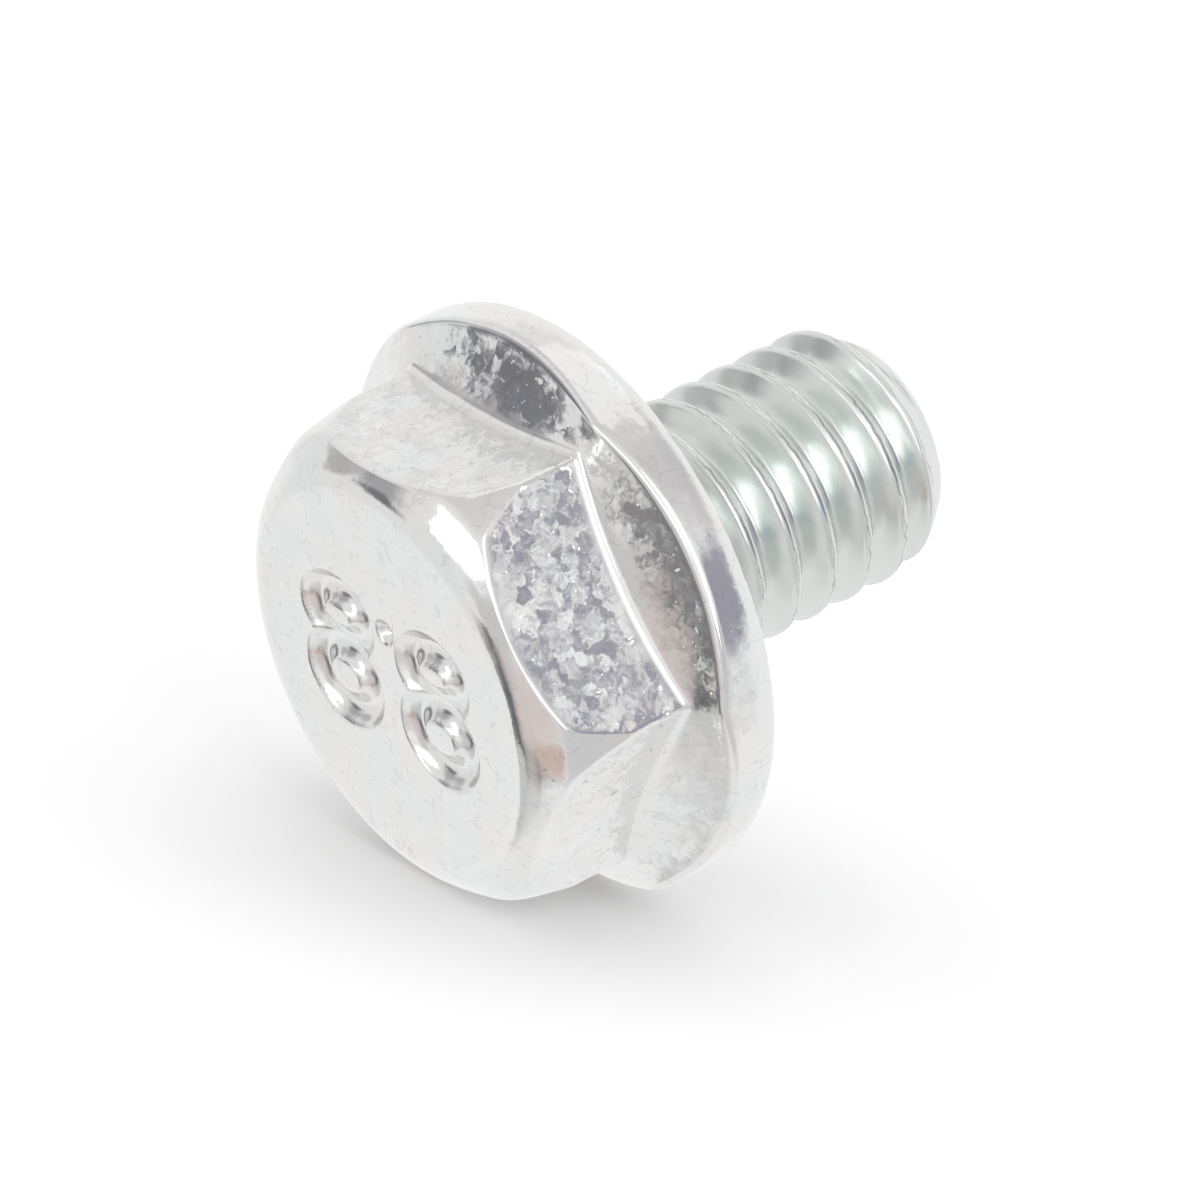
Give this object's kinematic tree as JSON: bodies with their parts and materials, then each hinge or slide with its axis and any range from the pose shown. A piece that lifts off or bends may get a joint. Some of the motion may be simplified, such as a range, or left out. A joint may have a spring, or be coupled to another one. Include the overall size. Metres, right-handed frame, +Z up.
{
  "type": "hexagon flange screw",
  "caption": "Short hexagon flange screw of zinc-plated steel, threaded up to the head, with a flange that slopes away in facets below the hexagon. Clamps a plate or housing.",
  "frame": {"origin": "on the floor, below the middle of the lying screw", "axes": "+X from the head to the tip along the floor, +Z up; the screw's axis rises towards the tip"},
  "size_m": [0.0152, 0.0132, 0.0126],
  "materials": {
    "zinc_plating": "bright zinc plating, satin, with fine scratches and a crystalline grain"
  },
  "bodies": {
    "root": {"flange_screw": "zinc_plating"}
  },
  "joints": []
}
